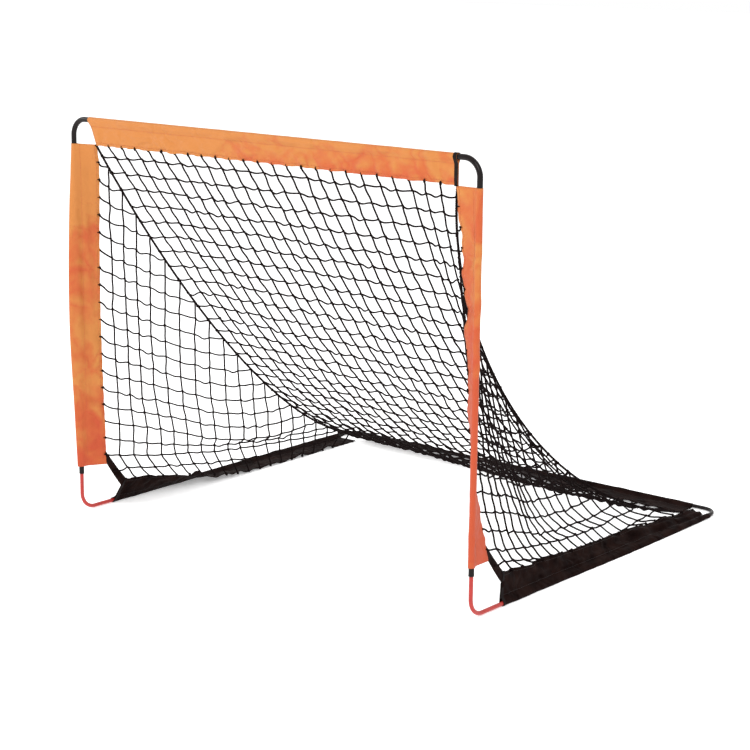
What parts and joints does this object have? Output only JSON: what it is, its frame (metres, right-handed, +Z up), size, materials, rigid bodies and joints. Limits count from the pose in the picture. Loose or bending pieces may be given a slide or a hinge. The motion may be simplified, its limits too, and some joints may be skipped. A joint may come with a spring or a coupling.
{
  "type": "soccer goal frame",
  "caption": "Portable backyard soccer goal: a fabric-sleeved tube frame with a slack net, whose front frame folds back onto its base.",
  "frame": {"origin": "on the ground, at the middle of the goal's footprint", "axes": "+X along the crossbar, -Y out of the mouth, +Z up"},
  "size_m": [1.2356, 1.0638, 0.9938],
  "materials": {
    "orange_fabric": "satin",
    "black_fabric": "satin",
    "black_netting": "matte",
    "black_steel": "gloss",
    "red_glass_fibre": "gloss",
    "black_glass_fibre": "gloss",
    "black_plastic": "satin",
    "bright_steel": "satin",
    "elastic_cord": "matte"
  },
  "bodies": {
    "base": {"back_net": "black_netting", "left_base_shock_cord": "elastic_cord", "left_foot_bend": "red_glass_fibre", "left_gusset": "black_fabric", "left_net": "black_netting", "left_rear_corner_bend": "black_glass_fibre", "left_side_ferrules": "bright_steel", "left_side_front_bar": "black_glass_fibre", "left_side_rear_bar": "black_glass_fibre", "left_side_sleeve": "black_fabric", "rear_ferrules": "bright_steel", "rear_left_bar": "black_glass_fibre", "rear_right_bar": "black_glass_fibre", "rear_sleeve": "black_fabric", "right_base_shock_cord": "elastic_cord", "right_foot_bend": "red_glass_fibre", "right_gusset": "black_fabric", "right_net": "black_netting", "right_rear_corner_bend": "black_glass_fibre", "right_side_ferrules": "bright_steel", "right_side_front_bar": "black_glass_fibre", "right_side_rear_bar": "black_glass_fibre", "right_side_sleeve": "black_fabric"},
    "front_frame": {"crossbar_ferrule": "bright_steel", "crossbar_left_binding": "black_fabric", "crossbar_left_tube": "black_steel", "crossbar_right_binding": "black_fabric", "crossbar_right_tube": "black_steel", "crossbar_sleeve": "orange_fabric", "front_shock_cord": "elastic_cord", "left_elbow": "black_steel", "left_foot_bush": "black_plastic", "left_upright_ferrule": "bright_steel", "left_upright_hem": "orange_fabric", "left_upright_lower_tube": "black_steel", "left_upright_sleeve": "orange_fabric", "left_upright_upper_tube": "black_steel", "right_elbow": "black_steel", "right_foot_bush": "black_plastic", "right_upright_ferrule": "bright_steel", "right_upright_hem": "orange_fabric", "right_upright_lower_tube": "black_steel", "right_upright_sleeve": "orange_fabric", "right_upright_upper_tube": "black_steel"}
  },
  "joints": [
    {"name": "front_frame_fold", "type": "hinge", "parent": "base", "child": "front_frame", "pos_m": [0, -0.51795, 0.098], "axis": [-1, 0, 0], "range_deg": [0, 90]}
  ]
}
